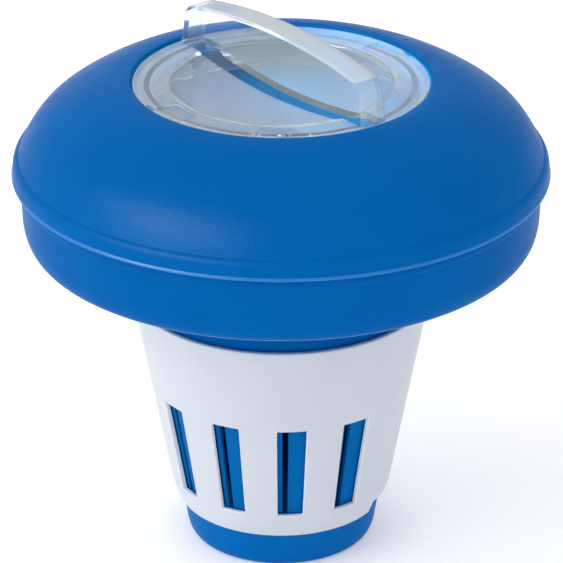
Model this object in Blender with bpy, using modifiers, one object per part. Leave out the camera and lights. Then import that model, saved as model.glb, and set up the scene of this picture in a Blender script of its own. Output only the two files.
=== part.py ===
"""Floating chlorine dispenser for pools and spas: eight separate mouldings.

Run with:  blender --background --python part.py

Units are metres and +Z is up. The origin is the centre of the flat base of the
bottom cup. Every moulding is a body of revolution about Z, cut or joined with
short arc-shaped blocks, except the cap, which also carries a hollow bridge grip.
"""
import math

import bmesh
import bpy
from mathutils import Vector

MM = 0.001

# ---------------------------------------------------------------- clearances
GAP = 0.3 * MM              # between neighbouring mouldings
STOP_PLAY = math.radians(0.8)
EDGE = 0.3 * MM             # small chamfers

# ------------------------------------------------------- float (upper, lower)
RIM_RADIUS = 63.5 * MM      # widest circle: a five-inch float
RIM_Z = 94.7 * MM           # underside of the upper shell's lip
FLOAT_WALL = 1.4 * MM
DOME_TOP_RADIUS = 36.2 * MM
DOME_TOP_Z = RIM_Z + 23.1 * MM
DOME_BEND = (44.7 * MM, RIM_Z + 22.4 * MM)      # control point of the dome's curve
SHOULDER = (56.6 * MM, RIM_Z + 13.5 * MM)       # where the dome meets its flank
FLANK_BEND = (60.4 * MM, RIM_Z + 8.8 * MM)
LIP_BEND_Z = RIM_Z + 4.1 * MM
LIP_RECESS_Z = RIM_Z + 2.5 * MM                 # top of the lip's inner step
LIP_TOP_RADIUS = 61.9 * MM
LIP_TOP_Z = RIM_Z + 4.8 * MM
LIP_INNER_RADIUS = RIM_RADIUS - 1.7 * MM
PAN_RADIUS = LIP_INNER_RADIUS - GAP
PAN_FLOOR_Z = 77.2 * MM     # outside of the flat floor
PAN_FLOOR_RADIUS = 55.3 * MM
PAN_FLOOR_THICKNESS = 1.5 * MM
PAN_ROUNDING_Z = PAN_FLOOR_Z + 7.0 * MM         # where the side turns in
PAN_BEND_RADIUS = PAN_RADIUS - 0.9 * MM
PAN_TOP_Z = RIM_Z + 2.3 * MM
PAN_BEAD_PROUD = 0.6 * MM
PAN_BEAD_HEIGHT = 1.6 * MM
NECK_RADIUS = 34.2 * MM
NECK_INNER_RADIUS = 32.6 * MM
NECK_BOTTOM_Z = 61.5 * MM

# ------------------------------------------------ cap seat and chamber tube
OPENING_RADIUS = 35.2 * MM
MOUTH_ROUNDING = 0.6 * MM
COLLAR_WALL = 1.2 * MM
COLLAR_BOTTOM_Z = 104.0 * MM
LEDGE_INNER_RADIUS = 32.4 * MM
LEDGE_TOP_Z = 113.7 * MM
LEDGE_BOTTOM_Z = 111.9 * MM
TUBE_RADIUS = OPENING_RADIUS - GAP
TUBE_INNER_RADIUS = 33.5 * MM
TUBE_TOP_Z = 108.6 * MM
SOCKET_TOP_Z = 84.0 * MM    # upstand of the lower shell round the tube's foot

# ------------------------------------------------------------------------ cap
CAP_TOP_Z = 117.2 * MM
CAP_RADIUS = 34.8 * MM
CAP_THICKNESS = 1.2 * MM
WELL_RADIUS = 26.3 * MM     # finger wells: one shallow dish under the grip
WELL_STEP = 0.7 * MM
WELL_DEPTH = 3.0 * MM
SKIRT_RADIUS = 32.0 * MM
SKIRT_WALL = 1.2 * MM
SKIRT_DEPTH = 9.0 * MM
GRIP_AZIMUTH = math.radians(-51.3)
GRIP_WIDTH = 6.8 * MM
GRIP_WALL = 1.0 * MM
GRIP_HALF_LENGTH = 34.4 * MM
GRIP_END_LEAN = 1.4 * MM     # the end walls lean in towards the top
GRIP_LEAN_HEIGHT = 6.5 * MM
GRIP_HEIGHT = 13.3 * MM
GRIP_SHOULDER = 10.6 * MM   # height where the end wall turns into the top
GRIP_SHOULDER_S = 29.5 * MM
GRIP_EDGE = 0.5 * MM
GRIP_CORNER = 0.6           # share by which the corner's inner side follows the wall
GRIP_TOP_STEPS = 6
LUG_HALF_ANGLE = math.radians(9.0)
LUG_RADIUS = 34.4 * MM
LUG_HEIGHT = 1.8 * MM
LUG_COUNT = 2
LEDGE_GAP_HALF_ANGLE = math.radians(11.5)
POCKET_RADII = (28.0 * MM, 33.4 * MM)       # shallow recess over each lug
POCKET_HALF_ANGLE = math.radians(8.0)
POCKET_DEPTH = 0.4 * MM
NOTCH_INNER_RADIUS = 33.9 * MM              # nick in the flange's rim by each lug
NOTCH_START = math.radians(-12.5)
NOTCH_END = math.radians(-6.5)

# --------------------------------------------------------------------- gasket
GASKET_RADIUS = 33.35 * MM
GASKET_CORD = 1.6 * MM
GASKET_Z = LEDGE_TOP_Z + GAP + GASKET_CORD / 2

# ------------------------------------------- dosing sleeve, basket and cup
SLEEVE_WALL = 1.2 * MM
SLEEVE_TOP_Z = 63.4 * MM
SLEEVE_TOP_RADIUS = 35.7 * MM
SLEEVE_TAPER = 0.186        # radius lost per unit of height
SLEEVE_CHAMFER_Z = 14.4 * MM
SLEEVE_BEND = (26.2 * MM, 12.8 * MM)        # control point of the foot's rounding
SLEEVE_BOTTOM_Z = 9.55 * MM
SLEEVE_BOTTOM_RADIUS = 24.7 * MM
SLOT_PITCH = math.radians(30.0)
SLOTS_PER_SIDE = 4          # two groups of slots, with a plain side between them
SLOT_SIDES = 2
SLOT_HALF_ANGLE = math.radians(6.6)
SLOT_BOTTOM_Z = 16.1 * MM
SLOT_TOP_Z = 40.9 * MM
SLOT_AZIMUTH = math.radians(-145.2)         # first slot of the first group
BASKET_WALL = 1.3 * MM
BASKET_TOP_Z = 68.0 * MM
BASKET_SHOULDER_Z = NECK_BOTTOM_Z - GAP
BASKET_FOOT_Z = 14.3 * MM
BASKET_END_Z = 5.5 * MM
BASKET_STEP_Z = 15.0 * MM   # inside, where the cone steps in to the tail
BASKET_SEAT = 5.5 * MM      # height of the thicker wall below the neck
SLIT_HALF_ANGLE = math.radians(1.2)
SLIT_OFFSET = math.radians(-2.8)            # from the slot's middle
SLIT_STEP = math.radians(-5.2)
SLITS_PER_SLOT = 3
SLIT_BOTTOM_Z = 15.9 * MM
SLIT_TOP_Z = 41.3 * MM
CUP_INNER_RADIUS = 21.9 * MM
CUP_TOP_Z = 14.0 * MM
CUP_SHOULDER_RADIUS = 23.9 * MM
CUP_FLOOR_RADIUS = 20.6 * MM
CUP_FLOOR_THICKNESS = 1.6 * MM
CUP_DISH_RADIUS = 19.4 * MM                 # flat inside of the floor
CUP_DISH_Z = 4.6 * MM
CUP_RIDGE = (25.65 * MM, 12.1 * MM)         # under the sleeve's foot rounding
CUP_SIDE = (23.24 * MM, 5.4 * MM)           # where the side turns in to the floor
CUP_BEND_RADIUS = 22.7 * MM
WINDOW_AZIMUTH = math.radians(-10.2)        # open notch in the sleeve's foot
WINDOW_HALF_ANGLE = math.radians(20.8)
WINDOW_TOP_Z = 12.8 * MM
STOP_START = math.radians(88.0)             # stop lug on the cup
STOP_ANGLE = math.radians(6.0)
STOP_TOP_Z = 12.2 * MM
STOP_RADIUS = 25.0 * MM
STOP_ROOT_RADIUS = 22.4 * MM
TURN_OPEN = math.radians(8.0)               # sleeve travel from rest to open
TURN_CLOSED = math.radians(6.0)             # sleeve travel from rest to closed

STEPS = 48                  # facets round each turned moulding
OUTSIDE = 10 * MM           # how far a cutter reaches beyond what it cuts

BLUE = (0.0, 0.127, 0.434, 1.0)
BLUE_DARK = (0.0, 0.105, 0.392, 1.0)
WHITE = (0.70, 0.74, 0.79, 1.0)
CLEAR = (0.80, 0.90, 0.94, 1.0)
SEAL = (0.62, 0.66, 0.70, 1.0)


# =================================================================== helpers
def clear_scene():
    for item in list(bpy.data.objects):
        bpy.data.objects.remove(item, do_unlink=True)


def make_collection(name):
    group = bpy.data.collections.new(name)
    bpy.context.scene.collection.children.link(group)
    return group


def make_material(name, colour, roughness, transmission=0.0):
    material = bpy.data.materials.new(name)
    material.use_nodes = True
    shader = material.node_tree.nodes["Principled BSDF"]
    shader.inputs["Base Color"].default_value = colour
    shader.inputs["Roughness"].default_value = roughness
    shader.inputs["Metallic"].default_value = 0.0
    shader.inputs["Transmission Weight"].default_value = transmission
    material.diffuse_color = colour
    return material


def add_object(name, mesh, group, material=None):
    item = bpy.data.objects.new(name, mesh)
    group.objects.link(item)
    if material:
        mesh.materials.append(material)
    return item


def curve_points(start, control, end, count):
    """Points along a quadratic curve, the start and the end included."""
    points = []
    for index in range(count + 1):
        t = index / count
        points.append(tuple(
            (1 - t) ** 2 * a + 2 * t * (1 - t) * b + t ** 2 * c
            for a, b, c in zip(start, control, end)))
    return points


def inset(points, distance):
    """The same outline moved to the inner side of a wall of this thickness."""
    moved = []
    for index, (radius, height) in enumerate(points):
        before = points[max(index - 1, 0)]
        after = points[min(index + 1, len(points) - 1)]
        along = Vector((after[0] - before[0], after[1] - before[1])).normalized()
        moved.append((radius + along.y * distance, height - along.x * distance))
    return moved


def turned(name, profile, group, material=None, closed=True):
    """A body of revolution: the profile runs down its outer side."""
    mesh = bpy.data.meshes.new(name)
    count = len(profile)
    edges = [(i, i + 1) for i in range(count - 1)]
    if closed:
        edges.append((count - 1, 0))
    mesh.from_pydata([(radius, 0.0, height) for radius, height in profile], edges, [])
    item = add_object(name, mesh, group, material)
    screw = item.modifiers.new("turn", 'SCREW')
    screw.steps = STEPS
    screw.render_steps = STEPS
    screw.use_merge_vertices = True
    screw.merge_threshold = 0.00001
    screw.use_smooth_shade = True
    return item


def arc_block(radii, azimuths, heights, cuts):
    """A closed block bent round the Z axis."""
    bm = bmesh.new()
    bmesh.ops.create_cube(bm, size=1.0)
    if cuts:
        across = [edge for edge in bm.edges
                  if abs(edge.verts[0].co.y - edge.verts[1].co.y) > 0.5]
        bmesh.ops.subdivide_edges(bm, edges=across, cuts=cuts, use_grid_fill=True)
    for vert in bm.verts:
        x, y, z = (value + 0.5 for value in vert.co)
        radius = radii[0] + x * (radii[1] - radii[0])
        azimuth = azimuths[0] + y * (azimuths[1] - azimuths[0])
        vert.co = (radius * math.cos(azimuth), radius * math.sin(azimuth),
                   heights[0] + z * (heights[1] - heights[0]))
    mesh = bpy.data.meshes.new("arc_block")
    bm.to_mesh(mesh)
    bm.free()
    return mesh


def blocks_object(name, group, blocks, cuts=0):
    """Several arc blocks as one cutter."""
    bm = bmesh.new()
    for radii, azimuths, heights in blocks:
        piece = arc_block(radii, azimuths, heights, cuts)
        bm.from_mesh(piece)
        bpy.data.meshes.remove(piece)
    mesh = bpy.data.meshes.new(name)
    bm.to_mesh(mesh)
    bm.free()
    return add_object(name, mesh, group)


def hide_cutter(item):
    item.hide_render = True
    item.display_type = 'WIRE'


def boolean(item, other, operation):
    hide_cutter(other)
    change = item.modifiers.new(operation.lower(), 'BOOLEAN')
    change.operation = operation
    change.solver = 'EXACT'
    change.object = other


def sleeve_radius(height):
    """Outer radius of the sleeve's cone."""
    return SLEEVE_TOP_RADIUS - SLEEVE_TAPER * (SLEEVE_TOP_Z - height)


def basket_radius(height):
    """Outer radius of the basket's cone, just inside the sleeve."""
    return sleeve_radius(height) - SLEEVE_WALL - GAP


def slot_azimuths():
    """Middles of the sleeve's slots, which the basket's slits follow."""
    return [SLOT_AZIMUTH + number * SLOT_PITCH + side * math.tau / SLOT_SIDES
            for side in range(SLOT_SIDES) for number in range(SLOTS_PER_SIDE)]


def well_height(radius):
    """Top face of the cap's disc."""
    if radius >= WELL_RADIUS:
        return CAP_TOP_Z
    bowl = (WELL_DEPTH - WELL_STEP) * (1 - (radius / WELL_RADIUS) ** 2)
    return CAP_TOP_Z - WELL_STEP - bowl


# ================================================================= mouldings
def build_upper_shell(group, cutters, material):
    """Dome, rounded lip and the collar that the cap drops into."""
    dome = curve_points((DOME_TOP_RADIUS, DOME_TOP_Z), DOME_BEND, SHOULDER, 9)
    flank = curve_points(SHOULDER, FLANK_BEND, (LIP_TOP_RADIUS, LIP_TOP_Z), 4)
    lip = curve_points((LIP_TOP_RADIUS, LIP_TOP_Z), (RIM_RADIUS, LIP_BEND_Z),
                       (RIM_RADIUS, RIM_Z), 4)
    mouth = curve_points((OPENING_RADIUS, DOME_TOP_Z - MOUTH_ROUNDING),
                         (OPENING_RADIUS, DOME_TOP_Z),
                         (OPENING_RADIUS + MOUTH_ROUNDING, DOME_TOP_Z), 3)
    outside = mouth + dome + flank[1:] + lip[1:]
    inside = inset(dome + flank[1:], FLOAT_WALL)
    inside.reverse()
    collar_radius = OPENING_RADIUS + COLLAR_WALL
    profile = outside + [
        (LIP_INNER_RADIUS, RIM_Z),
        (LIP_INNER_RADIUS, LIP_RECESS_Z),
    ] + inside[:-1] + [
        (collar_radius + MOUTH_ROUNDING, DOME_TOP_Z - FLOAT_WALL),
        (collar_radius, DOME_TOP_Z - FLOAT_WALL - MOUTH_ROUNDING),
        (collar_radius, COLLAR_BOTTOM_Z),
        (OPENING_RADIUS, COLLAR_BOTTOM_Z),
        (OPENING_RADIUS, LEDGE_BOTTOM_Z),
        (LEDGE_INNER_RADIUS, LEDGE_BOTTOM_Z),
        (LEDGE_INNER_RADIUS, LEDGE_TOP_Z),
        (OPENING_RADIUS, LEDGE_TOP_Z),
    ]
    shell = turned("float_upper_shell", profile, group, material)
    gaps = []
    for azimuth in lug_azimuths():
        gaps.append(((LEDGE_INNER_RADIUS - OUTSIDE, OPENING_RADIUS - GAP / 3),
                     (azimuth - LEDGE_GAP_HALF_ANGLE, azimuth + LEDGE_GAP_HALF_ANGLE),
                     (LEDGE_BOTTOM_Z - MM, LEDGE_TOP_Z + MM)))
    boolean(shell, blocks_object("ledge_gap_cutter", cutters, gaps, cuts=3), 'DIFFERENCE')
    return shell


def build_lower_shell(group, material):
    """Pan, its flat floor, and the neck that the sleeve turns on."""
    rounding = curve_points((PAN_RADIUS - EDGE, PAN_ROUNDING_Z),
                            (PAN_BEND_RADIUS, PAN_FLOOR_Z),
                            (PAN_FLOOR_RADIUS, PAN_FLOOR_Z), 6)
    inner_rounding = inset(rounding, FLOAT_WALL)
    inner_rounding.reverse()
    bead_top = RIM_Z - GAP
    bead_bottom = bead_top - PAN_BEAD_HEIGHT
    floor_top = PAN_FLOOR_Z + PAN_FLOOR_THICKNESS
    profile = [
        (PAN_RADIUS - EDGE, PAN_TOP_Z),
        (PAN_RADIUS, bead_top),
        (PAN_RADIUS + PAN_BEAD_PROUD, bead_top),
        (PAN_RADIUS + PAN_BEAD_PROUD, bead_bottom),
        (PAN_RADIUS, bead_bottom - PAN_BEAD_PROUD),
    ] + rounding + [
        (NECK_RADIUS + MM, PAN_FLOOR_Z),
        (NECK_RADIUS, PAN_FLOOR_Z - MM),
        (NECK_RADIUS, SLEEVE_TOP_Z),
        (basket_radius(NECK_BOTTOM_Z), NECK_BOTTOM_Z),
        (NECK_INNER_RADIUS, NECK_BOTTOM_Z),
        (NECK_INNER_RADIUS, floor_top),
        (OPENING_RADIUS, floor_top),
        (OPENING_RADIUS, SOCKET_TOP_Z),
        (OPENING_RADIUS + COLLAR_WALL, SOCKET_TOP_Z),
        (OPENING_RADIUS + COLLAR_WALL, floor_top),
    ] + inner_rounding + [
        (PAN_RADIUS - EDGE - FLOAT_WALL, PAN_TOP_Z),
    ]
    return turned("float_lower_shell", profile, group, material)


def build_chamber_tube(group, material):
    """Inner wall of the float's air ring, between the collar and the neck."""
    foot = PAN_FLOOR_Z + PAN_FLOOR_THICKNESS + GAP
    profile = [(TUBE_RADIUS, TUBE_TOP_Z), (TUBE_RADIUS, foot),
               (TUBE_INNER_RADIUS, foot), (TUBE_INNER_RADIUS, TUBE_TOP_Z)]
    return turned("chamber_tube", profile, group, material)


def build_basket(group, cutters, material):
    """Tapered basket, plugged into the neck above and the cup below."""
    plug = NECK_INNER_RADIUS - GAP
    tail = CUP_INNER_RADIUS - GAP
    profile = [
        (plug, BASKET_TOP_Z),
        (plug, BASKET_SHOULDER_Z),
        (basket_radius(BASKET_SHOULDER_Z), BASKET_SHOULDER_Z),
        (basket_radius(BASKET_FOOT_Z), BASKET_FOOT_Z),
        (tail, BASKET_FOOT_Z),
        (tail, BASKET_END_Z),
        (tail - BASKET_WALL, BASKET_END_Z),
        (tail - BASKET_WALL, BASKET_STEP_Z),
        (basket_radius(SLIT_BOTTOM_Z) - BASKET_WALL, SLIT_BOTTOM_Z - EDGE),
        (plug - BASKET_WALL, BASKET_SHOULDER_Z - BASKET_SEAT),
        (plug - BASKET_WALL, BASKET_TOP_Z),
    ]
    basket = turned("tablet_basket", profile, group, material)
    slits = []
    for middle in slot_azimuths():
        for number in range(SLITS_PER_SLOT):
            azimuth = middle + SLIT_OFFSET + number * SLIT_STEP
            slits.append(((CUP_INNER_RADIUS - OUTSIDE, SLEEVE_TOP_RADIUS),
                          (azimuth - SLIT_HALF_ANGLE, azimuth + SLIT_HALF_ANGLE),
                          (SLIT_BOTTOM_Z, SLIT_TOP_Z)))
    boolean(basket, blocks_object("slit_cutter", cutters, slits), 'DIFFERENCE')
    return basket


def build_sleeve(group, cutters, material):
    """White sleeve that turns on the neck and covers or bares the slits."""
    chamfer = curve_points((sleeve_radius(SLEEVE_CHAMFER_Z), SLEEVE_CHAMFER_Z),
                           SLEEVE_BEND,
                           (SLEEVE_BOTTOM_RADIUS, SLEEVE_BOTTOM_Z), 4)
    inner = [(radius - SLEEVE_WALL, height) for radius, height in chamfer]
    inner.reverse()
    profile = [
        (SLEEVE_TOP_RADIUS - EDGE, SLEEVE_TOP_Z),
        (SLEEVE_TOP_RADIUS, SLEEVE_TOP_Z - EDGE),
    ] + chamfer + inner + [(SLEEVE_TOP_RADIUS - SLEEVE_WALL, SLEEVE_TOP_Z)]
    sleeve = turned("dosing_sleeve", profile, group, material)
    radii = (CUP_INNER_RADIUS - OUTSIDE, SLEEVE_TOP_RADIUS + OUTSIDE)
    cuts = []
    for azimuth in slot_azimuths():
        cuts.append((radii, (azimuth - SLOT_HALF_ANGLE, azimuth + SLOT_HALF_ANGLE),
                     (SLOT_BOTTOM_Z, SLOT_TOP_Z)))
    notch_heights = (SLEEVE_BOTTOM_Z - MM, WINDOW_TOP_Z)
    cuts.append((radii, (WINDOW_AZIMUTH - WINDOW_HALF_ANGLE,
                         WINDOW_AZIMUTH + WINDOW_HALF_ANGLE), notch_heights))
    cuts.append((radii, (STOP_START - TURN_CLOSED - STOP_PLAY,
                         STOP_START + STOP_ANGLE + TURN_OPEN + STOP_PLAY), notch_heights))
    boolean(sleeve, blocks_object("slot_cutter", cutters, cuts), 'DIFFERENCE')
    return sleeve


def build_cup(group, cutters, material):
    """Closed foot of the basket; its shoulder holds the sleeve up."""
    rounding = curve_points(CUP_SIDE, (CUP_BEND_RADIUS, 0.0), (CUP_FLOOR_RADIUS, 0.0), 5)
    guide = SLEEVE_WALL + GAP
    profile = [
        (0.0, CUP_FLOOR_THICKNESS),
        (CUP_DISH_RADIUS, CUP_FLOOR_THICKNESS),
        (CUP_INNER_RADIUS, CUP_DISH_Z),
        (CUP_INNER_RADIUS, CUP_TOP_Z),
        (sleeve_radius(CUP_TOP_Z) - guide - GAP / 3, CUP_TOP_Z),
        (CUP_RIDGE[0] - guide, CUP_RIDGE[1]),
        (SLEEVE_BOTTOM_RADIUS - guide, SLEEVE_BOTTOM_Z),
        (SLEEVE_BOTTOM_RADIUS - guide, SLEEVE_BOTTOM_Z - GAP),
        (CUP_SHOULDER_RADIUS, SLEEVE_BOTTOM_Z - GAP),
    ] + rounding + [(0.0, 0.0)]
    cup = turned("bottom_cup", profile, group, material, closed=False)
    stop = blocks_object("stop_lug_block", cutters, [
        ((STOP_ROOT_RADIUS, STOP_RADIUS),
         (STOP_START, STOP_START + STOP_ANGLE),
         (SLEEVE_BOTTOM_Z - MM, STOP_TOP_Z))], cuts=1)
    boolean(cup, stop, 'UNION')
    return cup


def lug_azimuths():
    """The bayonet lugs stand square to the grip."""
    return [GRIP_AZIMUTH + math.pi / 2 + k * math.tau / LUG_COUNT for k in range(LUG_COUNT)]


def grip_outline(shrink, floor):
    """Side view of the grip as (along, height) points; shrink is the wall left off."""
    end = GRIP_HALF_LENGTH - shrink
    shoulder = (GRIP_SHOULDER_S - GRIP_CORNER * shrink,
                CAP_TOP_Z + GRIP_SHOULDER - shrink)
    corner = (end - GRIP_END_LEAN - EDGE,
              CAP_TOP_Z + GRIP_SHOULDER - 2 * EDGE - shrink)
    crown = CAP_TOP_Z + GRIP_HEIGHT - shrink
    side = curve_points((end - GRIP_END_LEAN, CAP_TOP_Z + GRIP_LEAN_HEIGHT - shrink),
                        corner, shoulder, 4)
    top = []
    for index in range(1, GRIP_TOP_STEPS):
        along = shoulder[0] * (1 - index / GRIP_TOP_STEPS)
        rise = (crown - shoulder[1]) * (1 - (along / shoulder[0]) ** 2)
        top.append((along, shoulder[1] + rise))
    half = [(end, floor[0][1])] + side + top
    mirrored = [(-along, height) for along, height in reversed(half)]
    return half + [(0.0, crown)] + mirrored + floor[1:-1]


def grip_block(name, group, outline, width):
    """The outline stood upright along the grip's axis and given a thickness."""
    direction = Vector((math.cos(GRIP_AZIMUTH), math.sin(GRIP_AZIMUTH), 0.0))
    across = Vector((-direction.y, direction.x, 0.0))
    mesh = bpy.data.meshes.new(name)
    bm = bmesh.new()
    base = [bm.verts.new(direction * along - across * width / 2 + Vector((0, 0, height)))
            for along, height in outline]
    face = bm.faces.new(base)
    swept = bmesh.ops.extrude_face_region(bm, geom=[face])["geom"]
    moved = [part for part in swept if isinstance(part, bmesh.types.BMVert)]
    bmesh.ops.translate(bm, verts=moved, vec=across * width)
    bmesh.ops.recalc_face_normals(bm, faces=bm.faces)
    bm.to_mesh(mesh)
    bm.free()
    return add_object(name, mesh, group)


def build_cap(group, cutters, material):
    """Clear cap: dished disc, skirt with bayonet lugs, and a hollow bridge grip."""
    bowl = [(WELL_RADIUS * k / 7, well_height(WELL_RADIUS * k / 7 - 1e-9)) for k in range(7)]
    lip = (WELL_RADIUS - EDGE, CAP_TOP_Z - WELL_STEP)
    under = [(radius, height - CAP_THICKNESS) for radius, height in bowl + [lip]]
    under.reverse()
    flange_bottom = CAP_TOP_Z - CAP_THICKNESS
    skirt_bottom = CAP_TOP_Z - SKIRT_DEPTH
    profile = bowl + [lip, (WELL_RADIUS, CAP_TOP_Z)] + [
        (CAP_RADIUS - EDGE, CAP_TOP_Z),
        (CAP_RADIUS, CAP_TOP_Z - EDGE),
        (CAP_RADIUS, flange_bottom),
        (SKIRT_RADIUS, flange_bottom),
        (SKIRT_RADIUS, skirt_bottom),
        (SKIRT_RADIUS - SKIRT_WALL, skirt_bottom),
        (SKIRT_RADIUS - SKIRT_WALL, flange_bottom),
        (WELL_RADIUS + EDGE, flange_bottom),
    ] + under
    cap = turned("cap", profile, group, material, closed=False)

    sunk = CAP_THICKNESS / 2
    reach = [GRIP_HALF_LENGTH * k / 8 for k in range(-8, 9)]
    floor = [(along, well_height(abs(along)) - sunk) for along in reach]
    outer = grip_block("grip_block", cutters, grip_outline(0.0, floor), GRIP_WIDTH)
    bevel = outer.modifiers.new("edges", 'BEVEL')
    bevel.width = GRIP_EDGE
    bevel.segments = 2
    bevel.limit_method = 'ANGLE'
    bevel.angle_limit = math.radians(60)
    boolean(cap, outer, 'UNION')

    lug_top = LEDGE_BOTTOM_Z - GAP
    lugs = [((SKIRT_RADIUS - SKIRT_WALL / 2, LUG_RADIUS),
             (azimuth - LUG_HALF_ANGLE, azimuth + LUG_HALF_ANGLE),
             (lug_top - LUG_HEIGHT, lug_top)) for azimuth in lug_azimuths()]
    boolean(cap, blocks_object("lug_block", cutters, lugs, cuts=3), 'UNION')

    end = GRIP_HALF_LENGTH - GRIP_WALL
    below = skirt_bottom - MM
    hollow = grip_outline(GRIP_WALL, [(-end, below), (end, below)])
    boolean(cap, grip_block("grip_hollow_cutter", cutters, hollow,
                            GRIP_WIDTH - 2 * GRIP_WALL), 'DIFFERENCE')

    pockets = []
    for azimuth in lug_azimuths():
        pockets.append((POCKET_RADII,
                        (azimuth - POCKET_HALF_ANGLE, azimuth + POCKET_HALF_ANGLE),
                        (CAP_TOP_Z - POCKET_DEPTH, CAP_TOP_Z + MM)))
        pockets.append(((NOTCH_INNER_RADIUS, CAP_RADIUS + MM),
                        (azimuth + NOTCH_START, azimuth + NOTCH_END),
                        (flange_bottom - MM, CAP_TOP_Z + MM)))
    boolean(cap, blocks_object("pocket_cutter", cutters, pockets, cuts=3), 'DIFFERENCE')
    return cap


def build_gasket(group, material):
    """Seal ring that lies on the ledge, under the cap's flange."""
    bpy.ops.mesh.primitive_torus_add(
        major_radius=GASKET_RADIUS, minor_radius=GASKET_CORD / 2,
        major_segments=STEPS, minor_segments=8, location=(0.0, 0.0, GASKET_Z))
    ring = bpy.context.active_object
    ring.name = "cap_gasket"
    ring.data.name = "cap_gasket"
    for holder in list(ring.users_collection):
        holder.objects.unlink(ring)
    group.objects.link(ring)
    ring.data.materials.append(material)
    ring.data.shade_smooth()
    return ring


def main():
    clear_scene()
    group = make_collection("floating_chlorine_dispenser")
    cutters = make_collection("cutters")
    blue = make_material("blue_shell", BLUE, 0.4)
    blue_dark = make_material("blue_inner", BLUE_DARK, 0.45)
    white = make_material("white_sleeve", WHITE, 0.45)
    clear = make_material("clear_cap", CLEAR, 0.08, transmission=0.9)
    seal = make_material("seal", SEAL, 0.6)
    build_upper_shell(group, cutters, blue)
    build_lower_shell(group, blue)
    build_chamber_tube(group, blue_dark)
    build_basket(group, cutters, blue_dark)
    build_sleeve(group, cutters, white)
    build_cup(group, cutters, blue_dark)
    build_cap(group, cutters, clear)
    build_gasket(group, seal)


main()
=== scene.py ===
"""Floating chlorine dispenser: fine surfaces, materials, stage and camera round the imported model.

Every moulding is rebuilt as a finely turned or pierced wall with rounded edges, in the
place its CAD node has, and rides on that node's body. Lengths are in metres. The azimuths of
slots, slits and notches are in degrees, and the other angles are set as radians.
"""

import math

import bmesh
import bpy
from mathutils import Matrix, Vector


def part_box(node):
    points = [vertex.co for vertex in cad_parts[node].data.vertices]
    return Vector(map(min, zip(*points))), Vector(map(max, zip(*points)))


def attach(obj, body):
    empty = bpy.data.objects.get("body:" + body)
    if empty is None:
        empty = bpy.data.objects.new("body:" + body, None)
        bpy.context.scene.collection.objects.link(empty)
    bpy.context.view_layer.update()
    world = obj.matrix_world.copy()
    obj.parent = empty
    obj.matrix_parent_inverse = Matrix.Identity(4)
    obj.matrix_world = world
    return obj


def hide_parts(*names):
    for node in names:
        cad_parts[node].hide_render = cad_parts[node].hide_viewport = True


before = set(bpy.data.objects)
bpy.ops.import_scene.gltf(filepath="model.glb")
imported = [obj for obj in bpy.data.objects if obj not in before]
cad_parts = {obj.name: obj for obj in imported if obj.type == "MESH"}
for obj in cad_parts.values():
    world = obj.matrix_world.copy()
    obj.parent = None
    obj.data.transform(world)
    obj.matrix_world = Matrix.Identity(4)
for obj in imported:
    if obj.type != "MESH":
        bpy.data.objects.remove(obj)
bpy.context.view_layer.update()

MM = 0.001
GAP = 0.3 * MM              # play between neighbouring pieces
SEGMENTS = 240              # facets round a turned moulding
SHARP_ANGLE = math.radians(32.0)    # an edge that bends more than this is shaded sharp
NOISE_SPREAD = (0.3, 0.7)           # what a noise texture's values mostly stay between


def turned_size(node):
    """Outer radius, lowest and highest point of a round CAD node, to a thousandth of a mm."""
    low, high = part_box(node)
    return round(high[0], 6), round(low[2], 6), round(high[2], 6)


RIM_RADIUS, RIM_Z, DOME_TOP_Z = turned_size("float_upper_shell")
BEAD_RADIUS, NECK_BOTTOM_Z, PAN_TOP_Z = turned_size("float_lower_shell")
TUBE_RADIUS, TUBE_FOOT_Z, TUBE_TOP_Z = turned_size("chamber_tube")
_, BASKET_END_Z, BASKET_TOP_Z = turned_size("tablet_basket")
SLEEVE_TOP_RADIUS, SLEEVE_BOTTOM_Z, SLEEVE_TOP_Z = turned_size("dosing_sleeve")
_, _, CUP_TOP_Z = turned_size("bottom_cup")
CAP_RADIUS, SKIRT_BOTTOM_Z, GRIP_TOP_Z = turned_size("cap")
SEAL_RADIUS, SEAL_BOTTOM_Z, SEAL_TOP_Z = turned_size("cap_gasket")

# ------------------------------------------------------------------- float
FLOAT_WALL = 1.4 * MM
DOME_TOP = (36.2 * MM, DOME_TOP_Z)
DOME_CONTROL = (44.7 * MM, DOME_TOP_Z - 0.7 * MM)
DOME_FLANK = (56.6 * MM, 108.2 * MM)
FLANK_CONTROL = (60.4 * MM, 103.5 * MM)
LIP_TOP = (61.9 * MM, 99.5 * MM)
LIP_CONTROL = (RIM_RADIUS, 98.8 * MM)
LIP_END = (RIM_RADIUS - 0.3 * MM, RIM_Z + 0.95 * MM)
LIP_BEAD = [                # the small bead that ends the lip
    (RIM_RADIUS, RIM_Z + 0.6 * MM),
    (RIM_RADIUS, RIM_Z + 0.3 * MM),
    (RIM_RADIUS - 0.1 * MM, RIM_Z + 0.1 * MM),
    (RIM_RADIUS - 0.35 * MM, RIM_Z),
]
LIP_INNER_HEIGHT = 2.5 * MM
OPENING_RADIUS = TUBE_RADIUS + GAP
MOUTH_ROUNDING = 0.7 * MM
COLLAR_RADIUS = OPENING_RADIUS + 1.2 * MM
COLLAR_BOTTOM_Z = 104.0 * MM
LEDGE_INNER_RADIUS = 32.4 * MM
LEDGE_TOP_Z = SEAL_BOTTOM_Z - GAP
LEDGE_BOTTOM_Z = LEDGE_TOP_Z - 1.8 * MM
BEAD_PROUD = 0.6 * MM
BEAD_HEIGHT = 1.6 * MM
PAN_RADIUS = BEAD_RADIUS - BEAD_PROUD
LIP_INNER_RADIUS = PAN_RADIUS + GAP
PAN_SIDE_RADIUS = PAN_RADIUS - 0.3 * MM
PAN_SIDE_LEAN = 0.6 * MM
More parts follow.
